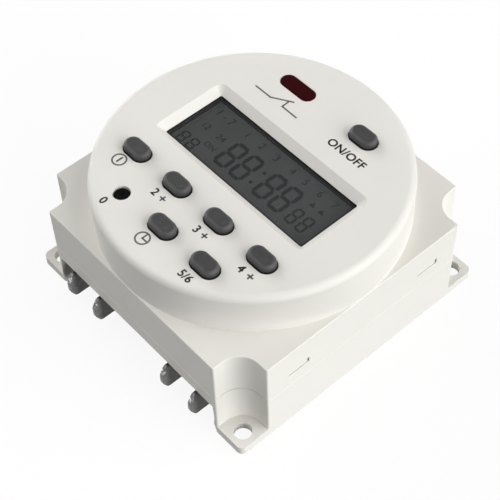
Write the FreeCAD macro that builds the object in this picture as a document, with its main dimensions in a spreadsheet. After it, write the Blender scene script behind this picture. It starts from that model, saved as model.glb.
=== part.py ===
import FreeCAD, Part
import math
import os
import re
import Sketcher

# Digital timer switch for panel or surface mounting.
# Frame: origin at the centre of the back face, +X in the reading direction of the display,
# +Y towards the top of the face, +Z out of the face. Millimetres.

SIZES = {
    # housing
    "side": 60.0,
    "notch": 6.5,
    "notch_round": 4.4,
    "ear_thick": 2.0,
    "ear_corner": 1.3,
    "ear_edge": 2.9,
    "ear_hole": 3.5,
    "parting": 11.2,
    "shoulder": 21.3,
    "face": 30.8,
    "disc_inset": 0.1,
    "disc_round": 1.5,
    "cover_wall": 1.8,
    "shoulder_wall": 1.8,
    "face_wall": 2.0,
    "base_wall": 1.8,
    "floor_thick": 1.2,
    "lip_thick": 1.2,
    "lip_height": 1.5,
    "lip_gap": 0.15,
    "lip_root": 1.5,
    "fit_gap": 0.1,
    # snap hooks
    "hook_spread": 32.1,
    "hook_width": 4.7,
    "hook_low": 14.5,
    "hook_tall": 1.1,
    "hook_nose": 0.4,
    "hook_inset": 0.12,
    "tongue_over": 1.4,
    # terminal bay
    "bay_end": 1.0,
    "bay_depth": 8.0,
    "bay_height": 8.0,
    "bay_wall": 1.6,
    "bay_round": 1.0,
    "blade_margin": 4.4,
    "pair_pitch": 7.95,
    "blade_thick": 0.8,
    "blade_wide": 6.3,
    "blade_low": 1.5,
    "blade_reach": 2.0,
    "blade_taper": 2.0,
    "blade_nose": 1.1,
    "blade_eye": 1.6,
    "eye_back": 4.2,
    "tail_long": 5.8,
    "prong_wide": 1.2,
    "prong_first": 1.1,
    "prong_pitch": 2.8,
    "prong_drop": 1.0,
    # display opening
    "view_x": 0.38,
    "view_y": 1.43,
    "view_long": 37.1,
    "view_tall": 13.7,
    "view_corner": 0.4,
    "bevel_long": 1.55,
    "bevel_tall": 1.55,
    "bevel_deep": 1.5,
    "bevel_corner": 1.5,
    "window_thick": 0.6,
    "window_gap": 0.05,
    "seal_thick": 0.15,
    "ledge_wide": 0.5,
    "ledge_thick": 0.4,
    "glass_long": 39.4,
    "glass_front": 15.0,
    "glass_rear": 17.0,
    "glass_thick": 1.1,
    "glass_gap": 0.2,
    "well_wall": 1.0,
    "strip_long": 37.0,
    "strip_wide": 2.0,
    "strip_spread": 13.8,
    # keys
    "key_long": 5.9,
    "key_wide": 3.55,
    "key_gap": 0.25,
    "key_rise": 1.6,
    "key_edge": 0.4,
    "key_lip": 0.5,
    "key_lip_thick": 1.0,
    "key_pitch": 11.4,
    "key_row_x": 0.36,
    "key_row_high": 13.1,
    "key_row_low": 21.07,
    "manual_x": 9.1,
    "manual_y": 19.2,
    "reset_x": 10.9,
    "reset_y": 21.4,
    "reset_hole": 3.4,
    "reset_depth": 0.4,
    "reset_head": 3.0,
    "reset_head_tall": 2.4,
    # indicator
    "lens_x": 8.65,
    "lens_y": 19.3,
    "lens_long": 8.5,
    "lens_wide": 3.45,
    "lens_gap": 0.05,
    "lens_rise": 0.1,
    "lens_lip": 0.8,
    "lens_lip_thick": 1.0,
    "diode_base": 3.8,
    "diode_base_thick": 0.8,
    "diode_wide": 3.0,
    "diode_tall": 3.9,
    "diode_crown": 0.9,
    # display board
    "board_thick": 1.6,
    "board_gap": 0.5,
    "board_drop": 5.4,
    "board_boss": 4.0,
    "boss_high_in": 2.7,
    "boss_high_y": 12.5,
    "boss_low_in": 2.0,
    "boss_low_y": 10.8,
    "screw": 2.0,
    "screw_gap": 0.05,
    "screw_head": 3.6,
    "screw_head_thick": 1.2,
    "screw_reach": 4.0,
    "pilot_spare": 0.5,
    "switch_side": 4.5,
    "switch_tall": 3.5,
    "switch_bore": 2.4,
    "plunger_gap": 0.05,
    "plunger_sink": 1.3,
    "plunger_room": 0.6,
    "chip_wide": 9.0,
    "chip_tall": 1.5,
    "chip_slope": 1.8,
    "chip_x": 9.0,
    "chip_y": 2.0,
    "crystal_long": 11.1,
    "crystal_wide": 4.6,
    "crystal_tall": 3.5,
    "crystal_x": 8.0,
    "crystal_y": 15.0,
    # power board
    "power_side_gap": 1.5,
    "power_back_gap": 1.8,
    "power_gap": 0.2,
    "power_rise": 2.0,
    "foot_boss": 5.0,
    "foot_side": 3.0,
    "foot_back": 3.1,
    "foot_front": 2.7,
    "foot_floor": 0.6,
    # relay
    "relay_x": 8.5,
    "relay_y": 11.0,
    "relay_long": 19.0,
    "relay_wide": 15.4,
    "relay_tall": 15.3,
    "relay_wall": 0.8,
    "relay_base_thick": 1.5,
    "coil_back": 0.3,
    "coil_wide": 9.2,
    "bobbin_wall": 0.5,
    "flange_wide": 9.8,
    "flange_thick": 0.8,
    "core_wide": 4.0,
    "yoke_thick": 1.2,
    "yoke_wide": 10.0,
    "yoke_tall": 10.6,
    "pivot_x": 6.1,
    "pivot_gap": 0.1,
    "pole_gap": 0.4,
    "armature_thick": 1.2,
    "armature_long": 10.5,
    "spring_thick": 0.3,
    "spring_wide": 5.0,
    "spring_long": 14.3,
    "contact_wide": 2.4,
    "contact_tall": 1.0,
    "contact_gap": 0.55,
    "contact_arm": 13.2,
    "post_thick": 1.0,
    "post_wide": 3.0,
    # other components
    "cap_x": 9.5,
    "cap_y": 8.0,
    "cap_long": 17.5,
    "cap_wide": 7.5,
    "cap_tall": 13.5,
    "cap_corner": 0.8,
    "can_x": 5.0,
    "can_y": 8.0,
    "can_wide": 8.0,
    "can_tall": 11.5,
    "can_edge": 0.6,
    "rect_x": 11.9,
    "rect_y": 10.0,
    "rect_pitch": 4.2,
    "rect_long": 4.3,
    "rect_wide": 2.6,
    "rect_tall": 2.1,
    "rect_rows": 5.4,
    "drop_x": 17.2,
    "drop_y": 0.4,
    "drop_wide": 3.5,
    "drop_tall": 9.0,
    "drop_edge": 0.5,
    "drive_x": 12.0,
    "drive_y": 0.4,
    "drive_wide": 4.6,
    "drive_flat": 1.6,
    "drive_tall": 4.6,
    "drive_legs": 2.0,
    "leg_side": 0.45,
    "leg_pitch": 1.27,
    "cell_x": 10.5,
    "cell_y": 9.8,
    "cell_wide": 15.4,
    "cell_tall": 5.9,
    "cell_edge": 0.5,
    "tab_thick": 0.2,
    "tab_wide": 4.0,
    "tab_reach": 1.0,
    "pin_x": 6.0,
    "pin_back": 3.9,
    "pin_pitch": 2.54,
    "pin_side": 0.64,
    "pin_slack": 0.1,
    "pin_tail": 0.8,
    "header_wide": 2.5,
    "header_tall": 2.5,
}
# levels and places that follow from the sizes above
DERIVED = {
    "half": "side / 2",
    "wall_line": "half - notch",
    "ear_place": "half - ear_edge",
    "disc": "side - 2 * disc_inset",
    "board_disc": "disc - 2 * cover_wall - 2 * board_gap",
    "boss_high_x": "sqrt((board_disc / 2 - boss_high_in) ^ 2 - boss_high_y ^ 2)",
    "boss_low_x": "sqrt((board_disc / 2 - boss_low_in) ^ 2 - boss_low_y ^ 2)",
    "bay_half": "wall_line - bay_end",
    "pair_place": "bay_half - blade_margin - pair_pitch / 2",
    "face_under": "face - face_wall",
    "roof_under": "shoulder - shoulder_wall",
    "window_low": "face - bevel_deep - window_thick",
    "seal_low": "window_low - seal_thick",
    "glass_top": "seal_low - ledge_thick",
    "glass_mid": "glass_top - glass_thick",
    "glass_low": "glass_mid - glass_thick",
    "board_top": "face_under - board_drop",
    "board_low": "board_top - board_thick",
    "switch_top": "board_top + switch_tall",
    "plunger_low": "switch_top - plunger_sink",
    "key_low": "face_under - fit_gap - key_lip_thick",
    "power_low": "floor_thick + power_rise",
    "power_top": "power_low + board_thick",
    "power_front": "half - bay_depth - bay_wall - power_gap",
    "power_edge": "wall_line - base_wall - power_side_gap",
    "power_back": "half - base_wall - power_back_gap",
    "foot_x": "power_edge - foot_side",
    "foot_high": "power_back - foot_back",
    "foot_low": "power_front - foot_front",
    "pin_y": "power_back - pin_back",
    "tail_front": "half - bay_depth - bay_wall - fit_gap",
    "blade_top": "blade_low + blade_wide",
    "tail_low": "power_top + fit_gap",
    "pilot": "screw + 2 * screw_gap",
    "slot_thick": "blade_thick + 2 * fit_gap",
    "yoke_low": "relay_base_thick",
    "yoke_high": "yoke_low + yoke_tall",
    "pole_seat": "yoke_low + yoke_thick",
    "armature_low": "yoke_high + pivot_gap",
    "spring_low": "armature_low + armature_thick",
    "core_top": "armature_low - pole_gap",
    "contact_x": "pivot_x - contact_arm",
    "row_left": "key_row_x - 1.5 * key_pitch",
}
PIN_COUNT = 5
UP = FreeCAD.Vector(0, 0, 1)
TOP = "XY_Plane"
FRONT = "XZ_Plane"
RIGHT = "YZ_Plane"

doc = FreeCAD.newDocument("timer_switch")
sheet = doc.addObject("Spreadsheet::Sheet", "Sizes")
cells = {name: str(size) for name, size in SIZES.items()}
cells.update({name: "=" + formula for name, formula in DERIVED.items()})
for row, (name, content) in enumerate(cells.items(), 1):
    sheet.set(f"A{row}", name)
    sheet.set(f"B{row}", content)
    sheet.setAlias(f"B{row}", name)
doc.recompute()

nodes = {}


# expressions: a name of the sheet stands for its cell
def prefixed(name):
    return "Sizes." + name if name in cells else name


def bound(text):
    return re.sub(r"[a-z]\w*", lambda word: prefixed(word.group()), text)


def value(text):
    return float(sheet.evalExpression(bound(text)))


# outlines: a list of corners, each with its place and, where an arc starts there, its centre and turn
def circle(x, y, wide):
    return {"x": x, "y": y, "wide": wide}


def box(low_x, low_y, high_x, high_y):
    return [(low_x, low_y), (high_x, low_y), (high_x, high_y), (low_x, high_y)]


def centred_box(x, y, long, wide):
    return box(f"{x} - ({long}) / 2", f"{y} - ({wide}) / 2", f"{x} + ({long}) / 2", f"{y} + ({wide}) / 2")


def rounded_box(x, y, long, wide, corner):
    near_x = f"({x}) - ({long}) / 2"
    far_x = f"({x}) + ({long}) / 2"
    near_y = f"({y}) - ({wide}) / 2"
    far_y = f"({y}) + ({wide}) / 2"
    in_x = f"{near_x} + ({corner})"
    out_x = f"{far_x} - ({corner})"
    in_y = f"{near_y} + ({corner})"
    out_y = f"{far_y} - ({corner})"
    return [
        (in_x, near_y),
        (out_x, near_y, out_x, in_y, "left"),
        (far_x, in_y),
        (far_x, out_y, out_x, out_y, "left"),
        (out_x, far_y),
        (in_x, far_y, in_x, out_y, "left"),
        (near_x, out_y),
        (near_x, in_y, in_x, in_y, "left"),
    ]


def obround(x, y, long, wide):
    left = f"({x}) - (({long}) - ({wide})) / 2"
    right = f"({x}) + (({long}) - ({wide})) / 2"
    low = f"({y}) - ({wide}) / 2"
    high = f"({y}) + ({wide}) / 2"
    return [(left, low), (right, low, right, y, "left"), (right, high), (left, high, left, y, "left")]


def notched(reach, wall, bend):
    far = f"({wall}) + ({bend})"
    back = f"-({far})"
    return [
        (reach, f"-({wall})"),
        (reach, wall),
        (far, wall, far, far, "right"),
        (wall, far),
        (wall, reach),
        (f"-({wall})", reach),
        (f"-({wall})", far, back, far, "right"),
        (back, wall),
        (f"-({reach})", wall),
        (f"-({reach})", f"-({wall})"),
        (back, f"-({wall})", back, back, "right"),
        (f"-({wall})", back),
        (f"-({wall})", f"-({reach})"),
        (wall, f"-({reach})"),
        (wall, back, far, back, "right"),
        (far, f"-({wall})"),
    ]


def mirrored(corners):
    return [(f"-({x})", y) for x, y in corners]


# sketches: every corner is tied to the sheet
def tie(flat, pairs):
    first = flat.ConstraintCount
    flat.addConstraint([constraint for constraint, text in pairs])
    for place, (constraint, text) in enumerate(pairs, first):
        if text:
            flat.setExpression(f"Constraints[{place}]", bound(text))


def draw_circle(flat, ring):
    spot = FreeCAD.Vector(value(ring["x"]), value(ring["y"]), 0)
    wide = value(ring["wide"])
    index = flat.addGeometry(Part.Circle(spot, UP, wide / 2), False)
    tie(flat, [
        (Sketcher.Constraint("DistanceX", -1, 1, index, 3, spot.x), ring["x"]),
        (Sketcher.Constraint("DistanceY", -1, 1, index, 3, spot.y), ring["y"]),
        (Sketcher.Constraint("Diameter", index, wide), ring["wide"]),
    ])


def draw_arc(start, end, centre, turn):
    first, last = (start, end) if turn == "left" else (end, start)
    opens = math.atan2(first.y - centre.y, first.x - centre.x)
    closes = math.atan2(last.y - centre.y, last.x - centre.x)
    if closes <= opens:
        closes += 2 * math.pi
    return Part.ArcOfCircle(Part.Circle(centre, UP, (start - centre).Length), opens, closes)


def draw_chain(flat, corners):
    spots = [FreeCAD.Vector(value(corner[0]), value(corner[1]), 0) for corner in corners]
    base = flat.GeometryCount
    ends = []
    pieces = []
    pairs = []
    for place, corner in enumerate(corners):
        start = spots[place]
        end = spots[(place + 1) % len(corners)]
        if len(corner) == 2:
            pieces.append(Part.LineSegment(start, end))
            ends.append((1, 2))
            continue
        centre = FreeCAD.Vector(value(corner[2]), value(corner[3]), 0)
        pieces.append(draw_arc(start, end, centre, corner[4]))
        ends.append((1, 2) if corner[4] == "left" else (2, 1))
        index = base + place
        if abs(end.y - start.y) >= abs(end.x - start.x):
            pairs.append((Sketcher.Constraint("DistanceX", -1, 1, index, 3, centre.x), corner[2]))
        else:
            pairs.append((Sketcher.Constraint("DistanceY", -1, 1, index, 3, centre.y), corner[3]))
    flat.addGeometry(pieces, False)
    for place, corner in enumerate(corners):
        index = base + place
        after = (place + 1) % len(corners)
        spot = spots[place]
        pairs.append((Sketcher.Constraint("DistanceX", -1, 1, index, ends[place][0], spot.x), corner[0]))
        pairs.append((Sketcher.Constraint("DistanceY", -1, 1, index, ends[place][0], spot.y), corner[1]))
        joint = Sketcher.Constraint("Coincident", index, ends[place][1], base + after, ends[after][0])
        pairs.append((joint, None))
    tie(flat, pairs)


def draw(body, plane, level, outlines):
    flat = body.newObject("Sketcher::SketchObject", "Outline")
    for feature in body.Origin.OriginFeatures:
        if feature.Role == plane:
            flat.AttachmentSupport = [(feature, "")]
    flat.MapMode = "FlatFace"
    flat.setExpression("AttachmentOffset.Base.z", bound(level))
    for shape in outlines:
        if isinstance(shape, dict):
            draw_circle(flat, shape)
        else:
            draw_chain(flat, shape)
    return flat


# features: levels run along the plane's own normal, which is -Y for the front plane
def new_body(label, x="0", y="0", z="0"):
    body = doc.addObject("PartDesign::Body", label)
    body.Label = label
    for axis, text in zip("xyz", (x, y, z)):
        body.setExpression(f"Placement.Base.{axis}", bound(text))
    nodes[label] = body
    return body


def pad(body, plane, low, high, *outlines):
    flat = draw(body, plane, low, outlines)
    feature = body.newObject("PartDesign::Pad", "Pad")
    feature.Profile = flat
    feature.setExpression("Length", bound(f"({high}) - ({low})"))


def cut(body, plane, low, high, *outlines):
    flat = draw(body, plane, high, outlines)
    feature = body.newObject("PartDesign::Pocket", "Pocket")
    feature.Profile = flat
    feature.setExpression("Length", bound(f"({high}) - ({low})"))


def cut_loft(body, low, high, inner, outer):
    first = draw(body, TOP, low, [inner])
    second = draw(body, TOP, high, [outer])
    feature = body.newObject("PartDesign::SubtractiveLoft", "Loft")
    feature.Profile = first
    feature.Sections = [second]


def turn(body, outline):
    flat = draw(body, FRONT, "0", [outline])
    feature = body.newObject("PartDesign::Revolution", "Revolution")
    feature.Profile = flat
    feature.ReferenceAxis = (flat, ["V_Axis"])
    feature.Angle = 360


def round_edges(body, size, picked):
    doc.recompute()
    base = body.Tip
    names = [f"Edge{place}" for place, edge in enumerate(base.Shape.Edges, 1) if picked(edge)]
    feature = body.newObject("PartDesign::Fillet", "Fillet")
    feature.Base = (base, names)
    feature.setExpression("Radius", bound(size))


def bevel_edges(body, size, picked):
    doc.recompute()
    base = body.Tip
    names = [f"Edge{place}" for place, edge in enumerate(base.Shape.Edges, 1) if picked(edge)]
    feature = body.newObject("PartDesign::Chamfer", "Chamfer")
    feature.Base = (base, names)
    feature.setExpression("Size", bound(size))


def at_level(text):
    level = value(text)
    return lambda edge: all(abs(vertex.Z - level) < 1e-6 for vertex in edge.Vertexes)


def above_level(text):
    level = value(text)
    return lambda edge: any(vertex.Z > level + 1e-6 for vertex in edge.Vertexes)


# places that several pieces share
KEYS = {
    "program": ("row_left", "-key_row_high"),
    "day": ("row_left + key_pitch", "-key_row_high"),
    "hour": ("row_left + 2 * key_pitch", "-key_row_high"),
    "minute": ("row_left + 3 * key_pitch", "-key_row_high"),
    "clock": ("key_row_x", "-key_row_low"),
    "recall": ("key_row_x + key_pitch", "-key_row_low"),
    "manual": ("manual_x", "manual_y"),
}
RESET = ("-reset_x", "-reset_y")
BOARD_SCREWS = [
    ("boss_high_x", "boss_high_y"),
    ("-boss_high_x", "boss_high_y"),
    ("boss_low_x", "-boss_low_y"),
    ("-boss_low_x", "-boss_low_y"),
]
FEET = [("foot_x", "foot_high"), ("-foot_x", "foot_high"), ("0", "-foot_low")]
BLADES = {
    "terminal_blade_1": "-pair_place - pair_pitch / 2",
    "terminal_blade_2": "-pair_place + pair_pitch / 2",
    "terminal_blade_3": "pair_place - pair_pitch / 2",
    "terminal_blade_4": "pair_place + pair_pitch / 2",
}
PINS = [f"-pin_x + {place - (PIN_COUNT - 1) / 2} * pin_pitch" for place in range(PIN_COUNT)]
PIN_HOLES = [centred_box(x, "pin_y", "pin_side + 2 * pin_slack", "pin_side + 2 * pin_slack") for x in PINS]


def view_box(spare):
    long = f"view_long + 2 * ({spare})"
    tall = f"view_tall + 2 * ({spare})"
    return rounded_box("view_x", "view_y", long, tall, f"view_corner + ({spare})")


def ledge_box():
    return centred_box("view_x", "view_y", "view_long - 2 * ledge_wide", "view_tall - 2 * ledge_wide")


# front cover: skirt, round face, display well, key holes, bosses and snap windows
def make_front_cover():
    body = new_body("front_cover")
    pad(body, TOP, "parting", "shoulder", notched("half", "wall_line", "notch_round"))
    pad(body, TOP, "shoulder", "face", circle("0", "0", "disc"))
    round_edges(body, "disc_round", at_level("face"))
    cut(body, TOP, "parting", "roof_under",
        notched("half - cover_wall", "wall_line - cover_wall", "notch_round + cover_wall"))
    cut(body, TOP, "roof_under", "face_under", circle("0", "0", "disc - 2 * cover_wall"))
    well_long = "glass_long + 2 * glass_gap"
    well_tall = "glass_rear + 2 * glass_gap"
    pad(body, TOP, "glass_low", "face_under",
        centred_box("view_x", "view_y", f"{well_long} + 2 * well_wall", f"{well_tall} + 2 * well_wall"))
    pad(body, TOP, "board_top", "face_under", *[circle(x, y, "board_boss") for x, y in BOARD_SCREWS])
    cut(body, TOP, "glass_low", "glass_top", centred_box("view_x", "view_y", well_long, well_tall))
    cut(body, TOP, "glass_top", "seal_low", ledge_box())
    cut(body, TOP, "seal_low", "face - bevel_deep", view_box("0"))
    cut_loft(body, "face - bevel_deep", "face", view_box("0"),
             rounded_box("view_x", "view_y", "view_long + 2 * bevel_long", "view_tall + 2 * bevel_tall",
                         "bevel_corner"))
    key_holes = [obround(x, y, "key_long + 2 * key_gap", "key_wide + 2 * key_gap") for x, y in KEYS.values()]
    cut(body, TOP, "face_under", "face", *key_holes, circle(*RESET, "reset_hole"),
        obround("-lens_x", "lens_y", "lens_long", "lens_wide"))
    cut(body, TOP, "board_top", "board_top + screw_reach + pilot_spare",
        *[circle(x, y, "pilot") for x, y in BOARD_SCREWS])
    slots = [centred_box(f"{side} * hook_spread / 2", "hook_low + hook_tall / 2", "hook_width + 2 * fit_gap",
                         "hook_tall + 2 * fit_gap") for side in ("-1", "1")]
    cut(body, RIGHT, "half - cover_wall", "half", *slots)
    cut(body, RIGHT, "-half", "-half + cover_wall", *slots)


# rear base: ear plate, walls, terminal bay, lip, snap hooks and floor bosses
def make_rear_base():
    body = new_body("rear_base")
    pad(body, TOP, "0", "ear_thick", rounded_box("0", "0", "side", "side", "ear_corner"))
    pad(body, TOP, "ear_thick", "parting", notched("half", "wall_line", "notch_round"))
    cut(body, TOP, "floor_thick", "parting",
        notched("half - base_wall", "wall_line - base_wall", "notch_round + base_wall"))
    inner = notched("half - base_wall - lip_gap - lip_thick", "wall_line - base_wall - lip_gap - lip_thick",
                    "notch_round + base_wall")
    pad(body, TOP, "0", "parting - lip_root",
        box("-wall_line", "-half", "wall_line", "-half + bay_depth + bay_wall"))
    pad(body, TOP, "parting - lip_root", "parting",
        notched("half - base_wall / 2", "wall_line - base_wall / 2", "notch_round + base_wall / 2"), inner)
    pad(body, TOP, "parting", "parting + lip_height",
        notched("half - base_wall - lip_gap", "wall_line - base_wall - lip_gap",
                "notch_round + base_wall + lip_gap"), inner)
    bay_left = "-bay_half"
    bay_right = "bay_half"
    bay_back = "-half + bay_depth"
    cut(body, TOP, "0", "bay_height", [
        (bay_left, "-half - 1"),
        (bay_right, "-half - 1"),
        (bay_right, f"{bay_back} - bay_round", f"{bay_right} - bay_round", f"{bay_back} - bay_round", "left"),
        (f"{bay_right} - bay_round", bay_back),
        (f"{bay_left} + bay_round", bay_back, f"{bay_left} + bay_round", f"{bay_back} - bay_round", "left"),
        (bay_left, f"{bay_back} - bay_round"),
    ])
    cut(body, FRONT, "half - bay_depth - bay_wall", "half - bay_depth",
        *[centred_box(x, "blade_low + blade_wide / 2", "slot_thick", "blade_wide + 2 * fit_gap")
          for x in BLADES.values()])
    outer = "half - base_wall - lip_gap"
    hook = [
        (f"{outer} - lip_thick", "parting"),
        (outer, "parting"),
        (outer, "hook_low"),
        ("half - hook_inset", "hook_low"),
        ("half - hook_inset", "hook_low + hook_nose"),
        (outer, "hook_low + hook_tall"),
        (outer, "hook_low + hook_tall + tongue_over"),
        (f"{outer} - lip_thick", "hook_low + hook_tall + tongue_over"),
    ]
    for side in ("-1", "1"):
        middle = f"{side} * hook_spread / 2"
        pad(body, FRONT, f"{middle} - hook_width / 2", f"{middle} + hook_width / 2", hook, mirrored(hook))
    pad(body, TOP, "floor_thick", "power_low", *[circle(x, y, "foot_boss") for x, y in FEET])
    cut(body, TOP, "foot_floor", "power_low", *[circle(x, y, "pilot") for x, y in FEET])
    ears = [circle(f"{x} * ear_place", f"{y} * ear_place", "ear_hole")
            for x in ("-1", "1") for y in ("-1", "1")]
    cut(body, TOP, "0", "ear_thick", *ears)


# display window, its seal, the two glasses and the contact strips
def make_display():
    body = new_body("display_window")
    pad(body, TOP, "window_low", "window_low + window_thick", view_box("-window_gap"))
    body = new_body("window_seal")
    pad(body, TOP, "seal_low", "window_low", view_box("-window_gap"), ledge_box())
    body = new_body("lcd_front_glass")
    pad(body, TOP, "glass_mid", "glass_top", centred_box("view_x", "view_y", "glass_long", "glass_front"))
    body = new_body("lcd_rear_glass")
    pad(body, TOP, "glass_low", "glass_mid", centred_box("view_x", "view_y", "glass_long", "glass_rear"))
    body = new_body("contact_strips")
    pad(body, TOP, "board_top", "glass_low",
        centred_box("view_x", "view_y - strip_spread / 2", "strip_long", "strip_wide"),
        centred_box("view_x", "view_y + strip_spread / 2", "strip_long", "strip_wide"))


# seven keys, each over the plunger of its switch, and the recessed reset plunger
def make_keys():
    for name, (x, y) in KEYS.items():
        body = new_body(f"{name}_key", x, y)
        pad(body, TOP, "key_low", "key_low + key_lip_thick",
            obround("0", "0", "key_long + 2 * key_lip", "key_wide + 2 * key_lip"))
        pad(body, TOP, "key_low + key_lip_thick", "face + key_rise",
            obround("0", "0", "key_long", "key_wide"))
        bevel_edges(body, "key_edge", at_level("face + key_rise"))
        body = new_body(f"{name}_plunger", x, y)
        pad(body, TOP, "plunger_low", "key_low", circle("0", "0", "switch_bore - 2 * plunger_gap"))
    body = new_body("reset_plunger", *RESET)
    head_low = "face - reset_depth - reset_head_tall"
    pad(body, TOP, "plunger_low", head_low, circle("0", "0", "switch_bore - 2 * plunger_gap"))
    pad(body, TOP, head_low, "face - reset_depth", circle("0", "0", "reset_head"))
    body = new_body("switch_housings")
    spots = [*KEYS.values(), RESET]
    pad(body, TOP, "board_top", "switch_top",
        *[centred_box(x, y, "switch_side", "switch_side") for x, y in spots])
    cut(body, TOP, "plunger_low - plunger_room", "switch_top",
        *[circle(x, y, "switch_bore") for x, y in spots])


# indicator: lens in the face and the diode on the board
def make_indicator():
    body = new_body("indicator_lens", "-lens_x", "lens_y")
    long = "lens_long - 2 * lens_gap"
    wide = "lens_wide - 2 * lens_gap"
    pad(body, TOP, "face_under - lens_lip_thick", "face_under",
        obround("0", "0", "lens_long + 2 * lens_lip", "lens_wide + 2 * lens_lip"))
    pad(body, TOP, "face_under", "face + lens_rise", obround("0", "0", long, wide))
    body = new_body("indicator_diode", "-lens_x", "lens_y", "board_top")
    crown = "diode_tall - diode_crown"
    turn(body, [
        ("0", "0"),
        ("diode_base / 2", "0"),
        ("diode_base / 2", "diode_base_thick"),
        ("diode_wide / 2", "diode_base_thick"),
        ("diode_wide / 2", crown),
        ("diode_wide / 2 - diode_crown", "diode_tall"),
        ("0", "diode_tall"),
    ])


# display board with its screws, chip and crystal
def make_display_board():
    body = new_body("display_board")
    pad(body, TOP, "board_low", "board_top", circle("0", "0", "board_disc"),
        *[circle(x, y, "pilot") for x, y in BOARD_SCREWS], *PIN_HOLES)
    body = new_body("board_screws")
    pad(body, TOP, "board_low - screw_head_thick", "board_low",
        *[circle(x, y, "screw_head") for x, y in BOARD_SCREWS])
    pad(body, TOP, "board_low", "board_top + screw_reach", *[circle(x, y, "screw") for x, y in BOARD_SCREWS])
    body = new_body("chip_blob", "-chip_x", "-chip_y", "board_low")
    turn(body, [
        ("0", "-chip_tall"),
        ("chip_wide / 2 - chip_slope", "-chip_tall"),
        ("chip_wide / 2", "0"),
        ("0", "0"),
    ])
    body = new_body("quartz_crystal")
    pad(body, TOP, "board_low - crystal_tall", "board_low",
        obround("crystal_x", "-crystal_y", "crystal_long", "crystal_wide"))


# terminal blades: a flat tab outside, a tail with two prongs inside
def make_blades():
    tip = "-half - blade_reach"
    prongs = []
    for first in ("-tail_front + prong_first", "-tail_front + prong_first + prong_pitch"):
        prongs.append((first, "tail_low"))
        prongs.append((first, "power_low - prong_drop"))
        prongs.append((f"{first} + prong_wide", "power_low - prong_drop"))
        prongs.append((f"{first} + prong_wide", "tail_low"))
    profile = [
        (tip, "blade_low + blade_taper"),
        (f"{tip} + blade_nose", "blade_low"),
        ("-tail_front", "blade_low"),
        ("-tail_front", "tail_low"),
        *prongs,
        ("-tail_front + tail_long", "tail_low"),
        ("-tail_front + tail_long", "blade_top"),
        (f"{tip} + blade_nose", "blade_top"),
        (tip, "blade_top - blade_taper"),
    ]
    eye = circle(f"{tip} + eye_back", "blade_low + blade_wide / 2", "blade_eye")
    for label, x in BLADES.items():
        body = new_body(label, x)
        pad(body, RIGHT, "-blade_thick / 2", "blade_thick / 2", profile, eye)


# power board with its screws, and the header that joins the two boards
def make_power_board():
    body = new_body("power_board")
    slots = []
    for x in BLADES.values():
        for first in ("prong_first", "prong_first + prong_pitch"):
            middle = f"-tail_front + {first} + prong_wide / 2"
            slots.append(centred_box(x, middle, "slot_thick", "prong_wide + 2 * fit_gap"))
    pad(body, TOP, "power_low", "power_top",
        box("-power_edge", "-power_front", "power_edge", "power_back"),
        *[circle(x, y, "pilot") for x, y in FEET], *slots, *PIN_HOLES)
    body = new_body("power_screws")
    pad(body, TOP, "power_top", "power_top + screw_head_thick",
        *[circle(x, y, "screw_head") for x, y in FEET])
    pad(body, TOP, "foot_floor + pilot_spare", "power_top", *[circle(x, y, "screw") for x, y in FEET])
    body = new_body("link_header")
    pad(body, TOP, "power_top", "power_top + header_tall",
        centred_box("-pin_x", "pin_y", f"{PIN_COUNT} * pin_pitch", "header_wide"), *PIN_HOLES)
    body = new_body("link_pins")
    pad(body, TOP, "power_low - pin_tail", "board_top + pin_tail",
        *[centred_box(x, "pin_y", "pin_side", "pin_side") for x in PINS])


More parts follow.
